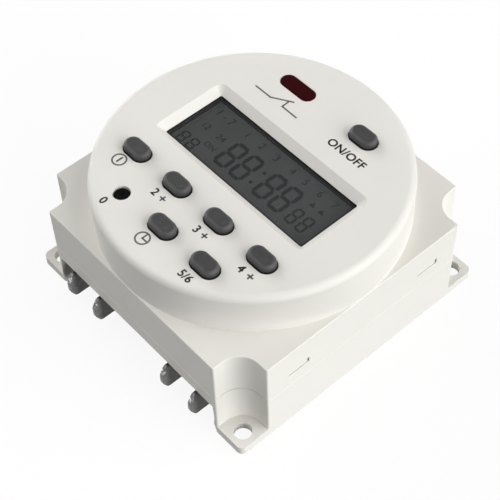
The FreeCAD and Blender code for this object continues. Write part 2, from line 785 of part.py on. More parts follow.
# relay: case, base, yoke, core, bobbin, winding, fixed contact, armature and contact spring
def make_relay():
    place = ("relay_x", "relay_y", "power_top")
    inner_long = "relay_long - 2 * relay_wall"
    inner_wide = "relay_wide - 2 * relay_wall"
    body = new_body("relay_case", *place)
    pad(body, TOP, "0", "relay_tall", centred_box("0", "0", "relay_long", "relay_wide"))
    cut(body, TOP, "0", "relay_tall - relay_wall", centred_box("0", "0", inner_long, inner_wide))
    body = new_body("relay_base", *place)
    pad(body, TOP, "0", "relay_base_thick",
        centred_box("0", "0", f"{inner_long} - 2 * fit_gap", f"{inner_wide} - 2 * fit_gap"))
    body = new_body("relay_yoke", *place)
    pad(body, FRONT, "-yoke_wide / 2", "yoke_wide / 2", [
        ("-coil_back - flange_wide / 2", "yoke_low"),
        ("pivot_x", "yoke_low"),
        ("pivot_x", "yoke_high"),
        ("pivot_x - yoke_thick", "yoke_high"),
        ("pivot_x - yoke_thick", "pole_seat"),
        ("-coil_back - flange_wide / 2", "pole_seat"),
    ])
    body = new_body("relay_core", *place)
    pad(body, TOP, "pole_seat", "core_top", circle("-coil_back", "0", "core_wide"))
    bore = "core_wide + 2 * plunger_gap"
    barrel = f"{bore} + 2 * bobbin_wall"
    body = new_body("relay_bobbin", *place)
    coil_top = "core_top - flange_thick"
    pad(body, TOP, "pole_seat", "pole_seat + flange_thick",
        circle("-coil_back", "0", "flange_wide"), circle("-coil_back", "0", bore))
    pad(body, TOP, "pole_seat + flange_thick", coil_top,
        circle("-coil_back", "0", barrel), circle("-coil_back", "0", bore))
    pad(body, TOP, coil_top, f"{coil_top} + flange_thick / 2",
        circle("-coil_back", "0", "flange_wide"), circle("-coil_back", "0", bore))
    body = new_body("relay_winding", *place)
    pad(body, TOP, "pole_seat + flange_thick", coil_top,
        circle("-coil_back", "0", "coil_wide"), circle("-coil_back", "0", f"{barrel} + 2 * plunger_gap"))
    body = new_body("relay_fixed_contact", *place)
    pad(body, TOP, "relay_base_thick", "spring_low - contact_tall - contact_gap",
        centred_box("contact_x", "0", "post_thick", "post_wide"))
    body = new_body("relay_armature", *place)
    pad(body, TOP, "armature_low", "spring_low",
        box("pivot_x - armature_long", "-yoke_wide / 2", "pivot_x", "yoke_wide / 2"))
    body = new_body("relay_contact_spring", *place)
    pad(body, TOP, "spring_low", "spring_low + spring_thick",
        box("pivot_x - spring_long", "-spring_wide / 2", "pivot_x", "spring_wide / 2"))
    pad(body, TOP, "spring_low - contact_tall", "spring_low", circle("contact_x", "0", "contact_wide"))


# the other components of the power board
def make_components():
    body = new_body("suppression_capacitor", "-cap_x", "-cap_y", "power_top")
    pad(body, TOP, "0", "cap_tall", centred_box("0", "0", "cap_long", "cap_wide"))
    bevel_edges(body, "cap_corner", above_level("0"))
    body = new_body("smoothing_capacitor", "can_x", "-can_y", "power_top")
    pad(body, TOP, "0", "can_tall", circle("0", "0", "can_wide"))
    bevel_edges(body, "can_edge", at_level("can_tall"))
    body = new_body("rectifier_diodes", "rect_x", "-rect_y", "power_top")
    spots = [(x, y) for x in ("0", "rect_pitch") for y in ("0", "rect_rows")]
    pad(body, TOP, "0", "rect_tall", *[centred_box(x, y, "rect_wide", "rect_long") for x, y in spots])
    body = new_body("dropper_resistor", "drop_x", "drop_y", "power_top")
    pad(body, TOP, "0", "drop_tall", circle("0", "0", "drop_wide"))
    bevel_edges(body, "drop_edge", at_level("drop_tall"))
    body = new_body("driver_transistor", "drive_x", "drive_y", "power_top")
    chord = "sqrt(drive_wide ^ 2 / 4 - drive_flat ^ 2)"
    pad(body, TOP, "drive_legs", "drive_legs + drive_tall",
        [(f"-{chord}", "drive_flat"), (chord, "drive_flat", "0", "0", "right")])
    pad(body, TOP, "0", "drive_legs",
        *[centred_box(f"{step} * leg_pitch", "0", "leg_side", "leg_side") for step in ("-1", "0", "1")])
    body = new_body("backup_cell", "-cell_x", "cell_y", "power_top")
    pad(body, TOP, "tab_thick", "tab_thick + cell_tall", circle("0", "0", "cell_wide"))
    bevel_edges(body, "cell_edge", at_level("tab_thick + cell_tall"))
    body = new_body("cell_tabs", "-cell_x", "cell_y", "power_top")
    pad(body, TOP, "0", "tab_thick",
        box("-tab_wide / 2", "-tab_wide", "tab_wide / 2", "cell_wide / 2 + tab_reach"))
    tab_low = "tab_thick + cell_tall"
    out = "-cell_wide / 2 - tab_reach"
    pad(body, FRONT, "-tab_wide / 2", "tab_wide / 2", [
        ("tab_wide / 2", tab_low),
        ("tab_wide / 2", f"{tab_low} + tab_thick"),
        (f"{out} - tab_thick", f"{tab_low} + tab_thick"),
        (f"{out} - tab_thick", "0"),
        (out, "0"),
        (out, tab_low),
    ])


# every feature must be sound and every cut must take material away
def check(body):
    for item in body.Group:
        if "Invalid" in item.State or "Error" in item.State:
            raise RuntimeError(f"{body.Label}: {item.Name} is {item.State}")
        if item.TypeId == "Sketcher::SketchObject" and not item.FullyConstrained:
            raise RuntimeError(f"{body.Label}: {item.Name} is not fully constrained")
        if item.TypeId in ("PartDesign::Pocket", "PartDesign::SubtractiveLoft"):
            if item.Shape.Volume >= item.BaseFeature.Shape.Volume - 1e-6:
                raise RuntimeError(f"{body.Label}: {item.Name} cuts nothing")
    shape = body.Shape
    if shape.isNull() or not shape.isValid() or not shape.Solids:
        raise RuntimeError(f"{body.Label}: shape is not sound")
    if any(solid.Volume <= 0 for solid in shape.Solids):
        raise RuntimeError(f"{body.Label}: a solid has no volume")


make_front_cover()
make_rear_base()
make_display()
make_keys()
make_indicator()
make_display_board()
make_blades()
make_power_board()
make_relay()
make_components()
doc.recompute()

os.makedirs("parts", exist_ok=True)
for label, body in nodes.items():
    check(body)
    body.Shape.exportStep(f"parts/{label}.step")
    print(label, len(body.Shape.Solids), round(body.Shape.Volume, 2))
print("nodes", len(nodes))
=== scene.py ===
import math

import bmesh
import bpy
from mathutils import Matrix, Vector


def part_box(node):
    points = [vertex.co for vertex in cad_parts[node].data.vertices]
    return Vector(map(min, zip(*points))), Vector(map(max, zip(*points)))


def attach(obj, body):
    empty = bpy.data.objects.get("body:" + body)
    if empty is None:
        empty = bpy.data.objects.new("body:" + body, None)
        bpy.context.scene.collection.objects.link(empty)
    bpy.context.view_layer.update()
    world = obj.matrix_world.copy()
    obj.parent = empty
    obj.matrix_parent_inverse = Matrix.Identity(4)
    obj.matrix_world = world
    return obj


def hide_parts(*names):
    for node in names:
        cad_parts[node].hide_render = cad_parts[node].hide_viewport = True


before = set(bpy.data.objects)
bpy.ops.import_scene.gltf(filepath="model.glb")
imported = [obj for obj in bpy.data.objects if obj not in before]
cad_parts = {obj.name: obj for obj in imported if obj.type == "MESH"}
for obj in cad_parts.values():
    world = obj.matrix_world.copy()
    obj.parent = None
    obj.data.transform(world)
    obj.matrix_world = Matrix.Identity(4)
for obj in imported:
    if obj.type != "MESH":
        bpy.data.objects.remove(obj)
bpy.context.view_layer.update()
mm = 0.001
over = 1.0  # how far a tool reaches past what it cuts


# selecting and shaping

def deselectAll():
    if bpy.context.object and bpy.context.object.mode != "OBJECT":
        bpy.ops.object.mode_set(mode="OBJECT")
    bpy.ops.object.select_all(action="DESELECT")


def activate(*pieces):
    deselectAll()
    for piece in pieces:
        piece.select_set(True)
    bpy.context.view_layer.objects.active = pieces[0]


def settle(piece):  # the place goes into the mesh, the object stays at the origin
    activate(piece)
    bpy.ops.object.transform_apply(location=True, rotation=True, scale=True)
    return piece


def pick(piece, kind, test):  # enters edit mode with only what passes the test selected
    activate(piece)
    bpy.ops.object.mode_set(mode="EDIT")
    bpy.ops.mesh.select_mode(type=kind)
    bpy.ops.mesh.select_all(action="DESELECT")
    shape = bmesh.from_edit_mesh(piece.data)
    for item in {"VERT": shape.verts, "EDGE": shape.edges, "FACE": shape.faces}[kind]:
        if test(item):
            item.select_set(True)
    shape.select_flush_mode()
    bmesh.update_edit_mesh(piece.data)


def leave():
    bpy.ops.object.mode_set(mode="OBJECT")


def anything(item):
    return True


def atHeight(z, reach=0.004):
    return lambda edge: all(abs(v.co.z / mm - z) < reach for v in edge.verts)


def facesUp(face):
    return face.normal.z > 0.99


def upright(edge):
    a, b = (v.co for v in edge.verts)
    return (a - b).xy.length < 1e-6 and abs(a.z - b.z) > 1e-6


def bevelPicked(piece, test, width, segments=3, clamp=True):
    pick(piece, "EDGE", test)
    bpy.ops.mesh.bevel(offset=width * mm, segments=segments, affect="EDGES", clamp_overlap=clamp)
    leave()


def merge(piece, reach):  # joins doubled points, and stays in edit mode
    pick(piece, "VERT", anything)
    bpy.ops.mesh.remove_doubles(threshold=reach * mm)


def flatten():  # one face for each flat side
    bpy.ops.mesh.dissolve_limited(angle_limit=math.radians(0.3))


def change(piece, kind, **settings):  # a modifier, set up and applied
    activate(piece)
    modifier = piece.modifiers.new(kind.lower(), kind)
    for key, value in settings.items():
        setattr(modifier, key, value)
    bpy.ops.object.modifier_apply(modifier=modifier.name)
    return piece


def carve(piece, tool, operation="DIFFERENCE"):
    change(piece, "BOOLEAN", object=tool, operation=operation, solver="EXACT")
    bpy.data.objects.remove(tool)
    return piece


def smooth(piece, angle=32):  # sharp only where the surface turns by more than the angle
    pick(piece, "EDGE", anything)
    bpy.ops.mesh.mark_sharp(clear=True)
    leave()
    pick(piece, "EDGE", lambda edge: edge.calc_face_angle(math.pi) > math.radians(angle))
    bpy.ops.mesh.mark_sharp()
    leave()
    bpy.ops.object.shade_smooth()
    change(piece, "WEIGHTED_NORMAL", mode="FACE_AREA", weight=60, keep_sharp=True)
    return piece


# pieces to start from

def addBlock(name, low, high):
    deselectAll()
    centre = [(a + b) / 2 * mm for a, b in zip(low, high)]
    bpy.ops.mesh.primitive_cube_add(size=1, location=centre)
    piece = bpy.context.object
    piece.scale = [(b - a) * mm for a, b in zip(low, high)]
    piece.name = name
    return settle(piece)


def addRod(name, x, y, low, high, radius, sides=64, turned=0):
    deselectAll()
    bpy.ops.mesh.primitive_cylinder_add(
        vertices=sides, radius=radius * mm, depth=(high - low) * mm,
        location=(x * mm, y * mm, (low + high) / 2 * mm), rotation=(0, 0, turned))
    piece = bpy.context.object
    piece.name = name
    return settle(piece)


def addObround(name, x, y, low, high, long, wide, sides=48):
    half = math.pi / sides  # half a step, so that the straight sides lie level
    piece = addRod(name, x, y, low, high, wide / 2 / math.cos(half), sides, half)
    for side in (-1, 1):
        pick(piece, "VERT", lambda v: (v.co.x / mm - x) * side > 0)
        bpy.ops.transform.translate(value=(side * (long - wide) / 2 * mm, 0, 0))
        leave()
    return piece


def copied(piece, name, x, y):  # a copy with its own mesh, moved across
    activate(piece)
    bpy.ops.object.duplicate()
    twin = bpy.context.object
    twin.name = name
    twin.location = (x * mm, y * mm, 0)
    return settle(twin)


def spread(pattern, name, places):  # a copy at each place, and the pattern goes
    copies = [copied(pattern, name, x, y) for x, y in places]
    bpy.data.objects.remove(pattern)
    return copies


def join(name, pieces):
    activate(*pieces)
    if len(pieces) > 1:
        bpy.ops.object.join()
    piece = bpy.context.object
    piece.name = name
    return piece


def dressNode(name, node, plain=True):  # a merged copy of a CAD node, its flat sides whole if plain
    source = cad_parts[node]
    piece = bpy.data.objects.new(name, source.data.copy())
    bpy.context.scene.collection.objects.link(piece)
    piece.data.materials.clear()
    merge(piece, 0.001)
    if plain:
        flatten()
    leave()
    return piece


def finishPiece(piece, material, body, slot, *nodes):
    piece.data.materials.clear()
    piece.data.materials.append(material)
    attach(piece, body)
    if nodes:
        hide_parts(*nodes)
    return piece


# shader maths

class Wire:  # a socket that can be added, multiplied and so on
    def __init__(self, sheet, socket):
        self.sheet = sheet
        self.socket = socket

    def __add__(self, other):
        return self.sheet.maths("ADD", self, other)

    __radd__ = __add__

    def __mul__(self, other):
        return self.sheet.maths("MULTIPLY", self, other)

    __rmul__ = __mul__

    def __sub__(self, other):
        return self.sheet.maths("SUBTRACT", self, other)

    def __rsub__(self, other):
        return self.sheet.maths("SUBTRACT", other, self)


class Sheet:  # the nodes of a material or of the world
    def __init__(self, tree):
        self.tree = tree

    def node(self, kind, settings=None, inputs=None, output=0):
        made = self.tree.nodes.new(kind)
        for key, value in (settings or {}).items():
            if key == "stops":
                self.setStops(made.color_ramp, value)
            else:
                setattr(made, key, value)
        for key, value in (inputs or {}).items():
            self.plug(made.inputs[key], value)
        return Wire(self, made.outputs[output])

    def plug(self, socket, value):
        if isinstance(value, Wire):
            self.tree.links.new(value.socket, socket)
        else:
            socket.default_value = value

    def setStops(self, ramp, stops):
        while len(ramp.elements) < len(stops):
            ramp.elements.new(0.5)
        for element, (place, shade) in zip(ramp.elements, stops):
            element.position = place
            element.color = grey(shade)

    def maths(self, operation, *values):
        return self.node("ShaderNodeMath", {"operation": operation}, dict(enumerate(values)))

    def place(self):
        return self.node("ShaderNodeTexCoord", output="Object")

    def part(self, vector, axis):  # X, Y or Z of a vector
        return self.node("ShaderNodeSeparateXYZ", {}, {0: vector}, "XYZ".index(axis))

    def noise(self, scale, detail=2, place=None, roughness=0.5):
        return self.node("ShaderNodeTexNoise", {}, {
            "Vector": place or self.place(), "Scale": scale, "Detail": detail,
            "Roughness": roughness})

    def stretched(self, x, y, z):
        return self.node("ShaderNodeMapping", {}, {"Vector": self.place(), "Scale": (x, y, z)})

    def mix(self, factor, low, high):
        return self.node("ShaderNodeMix", {"data_type": "RGBA"},
                         {0: factor, 6: low, 7: high}, output=2)

    def ramp(self, value, *stops):
        return self.node("ShaderNodeValToRGB", {"stops": stops}, {"Fac": value})

    def bump(self, height, strength, distance):
        return self.node("ShaderNodeBump", {}, {
            "Height": height, "Strength": strength, "Distance": distance * mm})

    def backgroundShare(self):  # 1 where the pale background is seen, also in gloss and glass
        camera, glossy, clear = (self.node("ShaderNodeLightPath", output=f"Is {ray} Ray")
                                 for ray in ("Camera", "Glossy", "Transmission"))
        return self.maths("MAXIMUM", self.maths("MAXIMUM", camera, glossy), clear)


class Finish(Sheet):  # one material with its shader
    names = {"color": "Base Color", "rough": "Roughness", "metal": "Metallic", "normal": "Normal",
             "specular": "Specular IOR Level", "alpha": "Alpha"}

    def __init__(self, name):
        self.material = bpy.data.materials.new(name)
        self.material.use_nodes = True
        super().__init__(self.material.node_tree)
        self.shader = self.tree.nodes["Principled BSDF"]

    def set(self, **inputs):
        for key, value in inputs.items():
            self.plug(self.shader.inputs[self.names[key]], value)
        return self.material


def rgb(r, g, b):
    return (r, g, b, 1)


def grey(shade):
    return rgb(shade, shade, shade)


def mouldedPlastic(name, dark, light, rough, grain, depth, specular=0.5):
    finish = Finish(name)
    cloud = finish.ramp(finish.noise(45, 3), (0.35, 0), (0.65, 1))
    speck = finish.noise(grain, 3, roughness=0.6)
    return finish.set(
        color=finish.mix(cloud, dark, light),
        rough=finish.noise(grain / 8, 2) * 0.12 + (rough - 0.06),
        normal=finish.bump(speck, 0.5, depth),
        specular=specular)


def brushedMetal(name, dark, light, rough, stretch):
    finish = Finish(name)
    streaks = finish.noise(1, 4, finish.stretched(*stretch), roughness=0.65)
    blotch = finish.noise(600, 2)
    return finish.set(
        color=finish.mix(finish.ramp(blotch, (0.3, 0), (0.7, 1)), dark, light),
        rough=streaks * 0.25 + (rough - 0.12),
        normal=finish.bump(streaks, 0.35, 0.01),
        metal=1.0)


# materials

housingPlastic = mouldedPlastic("housingPlastic", rgb(0.75, 0.735, 0.69), rgb(0.77, 0.755, 0.71),
                                0.5, 5200, 0.004, 0.3)
blackPlastic = mouldedPlastic("blackPlastic", grey(0.014), grey(0.022), 0.5, 4000, 0.004)
pitch = mouldedPlastic("pitchBlack", grey(0.002), grey(0.004), 0.8, 3000, 0.002, 0.05)
legendInk = mouldedPlastic("legendInk", grey(0.085), grey(0.105), 0.6, 9000, 0.002)
segmentInk = mouldedPlastic("segmentInk", grey(0.003), grey(0.005), 0.5, 3000, 0.001, 0.02)
edgeGrey = mouldedPlastic("filmEdge", grey(0.11), grey(0.15), 0.4, 3000, 0.002)
print("plastics ready")


# housing: an outer shell with softened edges, crossed with the CAD shape that has the inside

housing = {
    "half": 30.0, "wall": 23.5, "round": 4.4,  # the square, and where its corners are scooped out
    "ear": 2.0, "parting": 11.2, "shoulder": 21.3, "face": 30.8,  # heights
    "disc": 29.88, "rim": 1.5, "sides": 192,
    "edge": 0.35, "ledge": 0.1, "holeEdge": 0.1, "earEdge": 0.15,  # how far edges are softened
    "seamGap": 0.13, "seamLow": 0.12,  # the fine shadow between the halves
    "lip": 28.6, "lipRise": 3.0,  # the block over the base's lip: half its side, and its height
    "discSink": 3.0,  # how far the disc's block reaches down into the square one
    "rimInside": 27.0,  # every hole in the face lies within this radius
    "skin": 0.004, "notchSkin": 0.012, "earSkin": 0.0005,  # keep the shell off the CAD's own sides
}
corners = ((1, 1), (1, -1), (-1, 1), (-1, -1))


def notchEdge(edge):  # an upright edge where a notch meets a side
    if not upright(edge):
        return False
    low, high = sorted(abs(c) / mm for c in edge.verts[0].co.xy)
    return abs(high - housing["half"]) < 0.05 and abs(low - housing["wall"]) < 0.05


def addSlab(name, half, low, high):  # square, around the middle
    return addBlock(name, (-half, -half, low), (half, half, high))


def notchedBlock(name, low, high):
    block = addSlab(name, housing["half"] - housing["skin"], low, high)
    near = housing["wall"] - housing["notchSkin"]
    far = housing["half"] + 2 * over
    for sideX, sideY in corners:
        lowX, highX = sorted((sideX * near, sideX * far))
        lowY, highY = sorted((sideY * near, sideY * far))
        corner = addBlock("corner", (lowX, lowY, low - over), (highX, highY, high + over))
        inner = Vector((sideX * near, sideY * near))
        bevelPicked(corner,
                    lambda e: upright(e) and (e.verts[0].co.xy / mm - inner).length < 0.01,
                    housing["round"] + housing["notchSkin"], 14)
        carve(block, corner)
    return block


def addDisc():  # the round front part, its rim rounded over
    top = housing["face"] - housing["skin"]
    disc = addRod("disc", 0, 0, housing["shoulder"] - housing["discSink"], top,
                  housing["disc"], housing["sides"])
    bevelPicked(disc, atHeight(top), housing["rim"], 10, clamp=False)
    pick(disc, "FACE", lambda f: f.normal.z > 0.999)
    bpy.ops.mesh.poke()  # no hole may lie within a single side, or the crossing closes it
    leave()
    return disc


def rimEdge(edge):  # the rim of any hole in the face: one flat side, one upright side
    if not atHeight(housing["face"] - housing["skin"])(edge) or len(edge.link_faces) != 2:
        return False
    low, high = sorted(abs(f.normal.z) for f in edge.link_faces)
    return low < 0.5 < high and all(v.co.xy.length / mm < housing["rimInside"] for v in edge.verts)


def crossed(outer, node, plain):  # what the outer shell and the CAD node have in common
    inner = dressNode("inner", node, plain)
    carve(outer, inner, "INTERSECT")
    merge(outer, 0.002)
    if plain:
        flatten()
    leave()
    return outer


cover = notchedBlock("frontCover", housing["parting"] + housing["seamGap"], housing["shoulder"])
bevelPicked(cover, notchEdge, housing["edge"], 4, clamp=False)
bevelPicked(cover, atHeight(housing["shoulder"]), housing["ledge"], 1, clamp=False)
carve(cover, addDisc(), "UNION")
cover = crossed(cover, "front_cover", plain=False)
bevelPicked(cover, rimEdge, housing["holeEdge"], 2)
finishPiece(smooth(cover), housingPlastic, "housing", "housing", "front_cover")

baseTop = housing["parting"] - housing["skin"]
base = notchedBlock("rearBase", housing["ear"] - over / 2, baseTop)
bevelPicked(base, notchEdge, housing["edge"], 4, clamp=False)
bevelPicked(base, atHeight(baseTop), housing["seamLow"], 4, clamp=False)
lipCover = addSlab("lipCover", housing["lip"], housing["parting"] - over,
                   housing["parting"] + housing["lipRise"])
plate = addSlab("plate", housing["half"] + over, -over, housing["ear"] + housing["earSkin"])
carve(base, plate, "UNION")
carve(base, lipCover, "UNION")
base = crossed(base, "rear_base", plain=True)


# snap hooks of the base: their noses lie nearly level with the wall

hook = {"inside": 28.4, "reach": 29.87, "spread": 32.1, "long": 4.66, "short": 0.22,
        "low": 14.52, "high": 15.5, "slope": 0.14}


def addNose(side, end):
    lowX, highX = sorted((side * hook["inside"], side * hook["reach"]))
    middle = end * hook["spread"] / 2
    nose = addBlock("nose", (lowX, middle - hook["long"] / 2, hook["low"]),
                    (highX, middle + hook["long"] / 2 - hook["short"], hook["high"]))
    bevelPicked(nose, lambda e: atHeight(hook["high"])(e) and all(
        abs(v.co.x / mm - side * hook["reach"]) < 0.01 for v in e.verts), hook["slope"], 1)
    return nose


for side, end in corners:
    carve(base, addNose(side, end), "UNION")


def earTop(edge):  # the outer rim of the ear plate, and of the holes in it
    if not atHeight(housing["ear"])(edge):
        return False
    x, y = (sum(abs(v.co[axis]) for v in edge.verts) / 2 / mm for axis in (0, 1))
    near = 0.1
    centre = housing["wall"] + housing["round"]
    onWall = all(min(abs(abs(c) / mm - housing["wall"]) for c in v.co.xy) < near
                 for v in edge.verts)
    onRound = all(
        abs(math.hypot(*(abs(c) / mm - centre for c in v.co.xy)) - housing["round"]) < near
        and max(abs(c) / mm for c in v.co.xy) < centre for v in edge.verts)
    return min(x, y) > housing["wall"] + 2 * near and not onWall and not onRound


bay = {"half": 22.5, "tall": 8.0, "corner": 0.85}


def bayCorner(edge):  # an upright outer edge at either end of the terminal bay
    return upright(edge) and all(
        abs(abs(v.co.x / mm) - bay["half"]) < 0.02
        and v.co.y / mm < 0.05 - housing["half"]
        and v.co.z / mm < bay["tall"] + 0.05 for v in edge.verts)


bevelPicked(base, earTop, housing["earEdge"], 2)
bevelPicked(base, bayCorner, bay["corner"], 5, clamp=False)
finishPiece(smooth(base), housingPlastic, "housing", "housing", "rear_base")
print("housing dressed")


# keys: straight sides, a well rounded edge and a slightly dished top

key = {
    "long": 5.9, "wide": 3.55, "lip": 0.5, "lipTop": 28.7, "low": 27.7, "top": 32.4,
    "edge": 0.8, "dish": ((0.3, 0.02), (0.3, 0.03), (0.25, 0.02)),  # each step in, and down
    "paintedShadeTop": 30.7,  # painted shade, near black, up to this height
}
keyNames = ("program", "day", "hour", "minute", "clock", "recall", "manual")


def makeKeyFinish():  # dark grey, with a painted highlight where the surface turns away from the top, and painted shade, near black, below the face
    finish = Finish("keyRubber")
    turn = finish.part(finish.node("ShaderNodeTexCoord", output="Normal"), "Z")
    height = finish.part(finish.place(), "Z") * 1000  # in mm
    grain = finish.ramp(finish.noise(900, 3), (0.3, 0), (0.7, 1))
    top = finish.mix(grain, rgb(0.027, 0.027, 0.028), rgb(0.036, 0.036, 0.037))
    # painted highlight: the rounded edge and the sides are paler than the top
    turned = finish.ramp(turn, (0.0, 0.3), (0.5, 0.8), (0.85, 0.6), (1.0, 0.0))
    body = finish.mix(turned, top, rgb(0.075, 0.075, 0.0775))
    # painted shade: near black below the face, in the gap around the key
    clearOfPaintedShade = finish.ramp(height - key["paintedShadeTop"], (0.2, 0.0), (0.6, 1.0))
    return finish.set(
        color=finish.mix(clearOfPaintedShade, grey(0.006), body),
        rough=grain * 0.08 + 0.46,
        normal=finish.bump(finish.noise(4200, 3), 0.5, 0.006),
        specular=0.3)


def makeKey():  # in the middle of the face, ready to be copied
    piece = addObround("keyPattern", 0, 0, key["lipTop"], key["top"], key["long"], key["wide"])
    bevelPicked(piece, atHeight(key["top"]), key["edge"], 6)
    pick(piece, "FACE",
         lambda f: facesUp(f) and f.calc_center_median().z / mm > key["top"] - 0.01)
    for inset, drop in key["dish"]:
        bpy.ops.mesh.inset(thickness=inset * mm, depth=0)
        bpy.ops.transform.translate(value=(0, 0, -drop * mm))
    leave()
    lip = addObround("lip", 0, 0, key["low"], key["lipTop"], key["long"] + 2 * key["lip"],
                     key["wide"] + 2 * key["lip"])
    return smooth(join("keyPattern", [piece, lip]), 40)


keyRubber = makeKeyFinish()
keyPattern = makeKey()
for keyName in keyNames:
    low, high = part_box(f"{keyName}_key")
    middle = (low + high) / 2 / mm
    made = copied(keyPattern, f"{keyName}Key", middle.x, middle.y)
    finishPiece(made, keyRubber, f"{keyName}_button", "key", f"{keyName}_key")
bpy.data.objects.remove(keyPattern)
print("keys made")


# reset plunger: sits just below the face, with a dimple for a pen's tip

reset = {"x": -10.9, "y": -21.4, "head": 1.5, "headLow": 28.0, "top": 30.4,
         "stem": 1.15, "stemLow": 25.6, "edge": 0.25, "dimple": 0.7, "dimpleDeep": 0.25}
head = addRod("resetPlunger", reset["x"], reset["y"], reset["headLow"], reset["top"],
              reset["head"], 48)
bevelPicked(head, atHeight(reset["top"]), reset["edge"], 4)
pick(head, "FACE", facesUp)
ring = reset["head"] - reset["edge"] - reset["dimple"]
bpy.ops.mesh.inset(thickness=ring * mm, depth=0)
bpy.ops.mesh.inset(thickness=reset["dimpleDeep"] * mm, depth=0)
bpy.ops.transform.translate(value=(0, 0, -reset["dimpleDeep"] * mm))
leave()
stem = addRod("stem", reset["x"], reset["y"], reset["stemLow"], reset["headLow"],
              reset["stem"], 32)
head = smooth(join("resetPlunger", [head, stem]), 40)
finishPiece(head, pitch, "reset_button", "plunger", "reset_plunger")


# terminal blades: rounded tips and soft edges

blade = {"tipReach": 30.4, "tipRound": 0.5, "edge": 0.1, "glintLow": 6.0}  # painted glints above this height


def makeBladeFinish():  # dull metal, with painted shade that darkens it towards the housing wall and leaves it paler to the tip, and painted glints near the tip's upper edge
    finish = Finish("bladeMetal")
    streaks = finish.noise(1, 4, finish.stretched(1500, 1500, 2600), roughness=0.65)
    grain = finish.ramp(streaks, (0.35, 0), (0.65, 1))
    along = finish.part(finish.place(), "Y") * -500 - 15  # 0 at the wall, 1 at the tip
    height = finish.part(finish.place(), "Z") * 1000  # in mm
    # painted shade: darker towards the housing wall, paler to the tip
    paintedShadeToWall = finish.mix(finish.ramp(along, (0.1, 0.0), (0.8, 1.0)),
                      rgb(0.055, 0.055, 0.054), rgb(0.23, 0.228, 0.222))
    grained = finish.mix(grain * 0.55, paintedShadeToWall, grey(0.025))
    # painted highlight: near-white glints on the upper edge near the tip
    tip = finish.ramp(along, (0.5, 0.0), (0.75, 1.0))
    upper = finish.ramp(height - blade["glintLow"], (0.0, 0.0), (0.9, 1.0))
    glintSpots = finish.ramp(finish.noise(2200, 2), (0.47, 0.0), (0.53, 1.0))
    return finish.set(
        color=finish.mix(tip * upper * glintSpots, grained, rgb(0.95, 0.94, 0.92)),
        rough=grain * 0.15 + 0.3,
        normal=finish.bump(grain, 0.25, 0.01),
        metal=1.0)


def bladeTip(edge):  # runs through the blade's thickness, beyond the housing
    a, b = (v.co / mm for v in edge.verts)
    across = abs(a.x - b.x) > 0.5 and abs(a.y - b.y) < 0.01 and abs(a.z - b.z) < 0.01
    return across and a.y < -blade["tipReach"]


bladeMetal = makeBladeFinish()
for number in range(1, 5):
    node = f"terminal_blade_{number}"
    piece = dressNode(f"terminalBlade{number}", node)
    bevelPicked(piece, bladeTip, blade["tipRound"], 4)
    change(piece, "BEVEL", width=blade["edge"] * mm, segments=2, limit_method="ANGLE",
           angle_limit=math.radians(50), use_clamp_overlap=True)
    finishPiece(smooth(piece), bladeMetal, "housing", "blade", node)
print("blades dressed")


# indicator lens: set in from its CAD box by the width of its lip

lens = {"low": 27.8, "lipTop": 28.8, "top": 30.9, "edge": 0.25, "lip": 0.8, "play": 0.1}
lensLow, lensHigh = (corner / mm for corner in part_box("indicator_lens"))
lensMiddle = (lensLow + lensHigh) / 2
lensLong, lensWide = (lensHigh - lensLow).xy


def makeLensFinish():
    finish = Finish("redLens")
    cloud = finish.noise(300, 2)
    return finish.set(
        color=finish.mix(cloud, rgb(0.024, 0.0012, 0.0016), rgb(0.032, 0.002, 0.003)),
        rough=cloud * 0.1 + 0.3,
        normal=finish.bump(finish.noise(900, 2), 0.3, 0.02),
        specular=0.03)


lensSetIn = 2 * lens["lip"] + lens["play"]
lensPiece = addObround("indicatorLens", lensMiddle.x, lensMiddle.y, lens["lipTop"], lens["top"],
                       lensLong - lensSetIn, lensWide - lensSetIn)
bevelPicked(lensPiece, atHeight(lens["top"]), lens["edge"], 4)
lensLip = addObround("lip", lensMiddle.x, lensMiddle.y, lens["low"], lens["lipTop"],
                     lensLong, lensWide)
lensPiece = smooth(join("indicatorLens", [lensPiece, lensLip]), 40)
finishPiece(lensPiece, makeLensFinish(), "housing", "lens", "indicator_lens")


# display window, its black seal, and the glass with a film on it

view = {
    "x": 0.38, "y": 1.43, "long": 37.1, "tall": 13.7,  # the opening in the cover
    "top": 29.3, "windowLow": 28.7, "sealLow": 28.55, "filmTop": 28.4, "glassTop": 28.15,
    "play": 0.02, "sealWall": 0.16, "ledge": 0.5, "skirtWall": 0.1, "lap": 0.05,
    "windowPlay": 0.18, "windowCorner": 0.3, "windowLift": 0.01, "windowDrop": 0.03,
    "film": 0.2, "filmEdge": 0.13, "filmLap": 0.21,  # set in from the ledge
    "edge": 0.06,
}


def viewBlock(name, inset, low, high):
    x, y = view["x"], view["y"]
    long, tall = view["long"] / 2 - inset, view["tall"] / 2 - inset
    return addBlock(name, (x - long, y - tall, low), (x + long, y + tall, high))


seal = viewBlock("windowSeal", view["play"], view["sealLow"], view["top"] - view["play"])
carve(seal, viewBlock("cutter", view["sealWall"], view["windowLow"], view["top"] + over))
skirt = viewBlock("skirt", view["ledge"] + view["play"], view["glassTop"],
                  view["sealLow"] + view["lap"])
carve(seal, skirt, "UNION")
carve(seal, viewBlock("cutter", view["ledge"] + view["skirtWall"], view["glassTop"] - over,
                      view["windowLow"] + over))
finishPiece(smooth(seal), pitch, "housing", "seal", "window_seal")


def makeWindowFinish():
    finish = Finish("clearWindow")
    return finish.set(
        color=rgb(0.5, 0.52, 0.53),
        rough=finish.noise(200, 2) * 0.05 + 0.25,
        alpha=finish.noise(90, 2) * 0.02 + 0.02,
        specular=0.05)


windowTop = view["top"] - view["windowDrop"]
window = viewBlock("displayWindow", view["windowPlay"],
                   view["windowLow"] + view["windowLift"], windowTop)
bevelPicked(window, upright, view["windowCorner"], 4)
bevelPicked(window, atHeight(windowTop), view["edge"], 2)
finishPiece(smooth(window), makeWindowFinish(), "housing", "window", "display_window")


